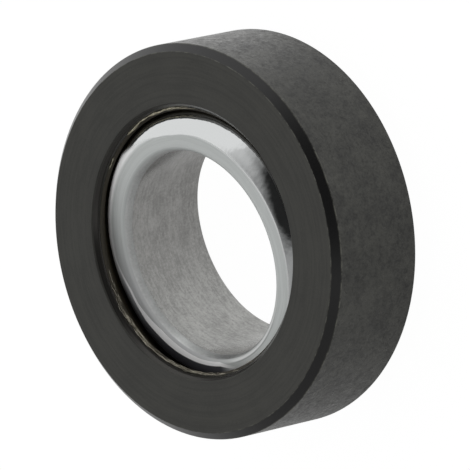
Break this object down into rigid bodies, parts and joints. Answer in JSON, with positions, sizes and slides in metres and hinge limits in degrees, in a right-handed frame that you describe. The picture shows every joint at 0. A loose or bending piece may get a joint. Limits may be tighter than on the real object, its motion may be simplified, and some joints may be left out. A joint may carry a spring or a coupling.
{
  "type": "angular contact spherical plain bearing",
  "caption": "Angular contact spherical plain bearing: a polished inner ring with a ball surface swivels in a lined outer ring and carries radial and one-way axial load.",
  "frame": {"origin": "on the outer ring's axis, level with the lowest edge of the swivelled inner ring (centre of the bottom of the bounding box)", "axes": "+Z along the outer ring's axis, from its wide side below to its narrow face above; +X along the swivel axis, about which the inner ring is swivelled by 8 degrees"},
  "size_m": [0.047, 0.047, 0.0169],
  "materials": {
    "blackened_steel": "matt dark grey phosphated steel with fine mottling",
    "woven_liner": "resin-bonded golden-brown sliding fabric, frayed a little at its trimmed edge",
    "chromed_steel": "mirror-polished hard chrome on the ball, satin on the face, ground grey in the bore"
  },
  "bodies": {
    "outer": {"outer_ring": "blackened_steel", "sliding_liner": "woven_liner"},
    "inner": {"inner_ring": "chromed_steel"}
  },
  "joints": [
    {"name": "ring_swivel", "type": "hinge", "parent": "outer", "child": "inner", "pos_m": [0, 0, 0.00112], "axis": [1, 0, 0], "range_deg": [-16, 0]}
  ]
}
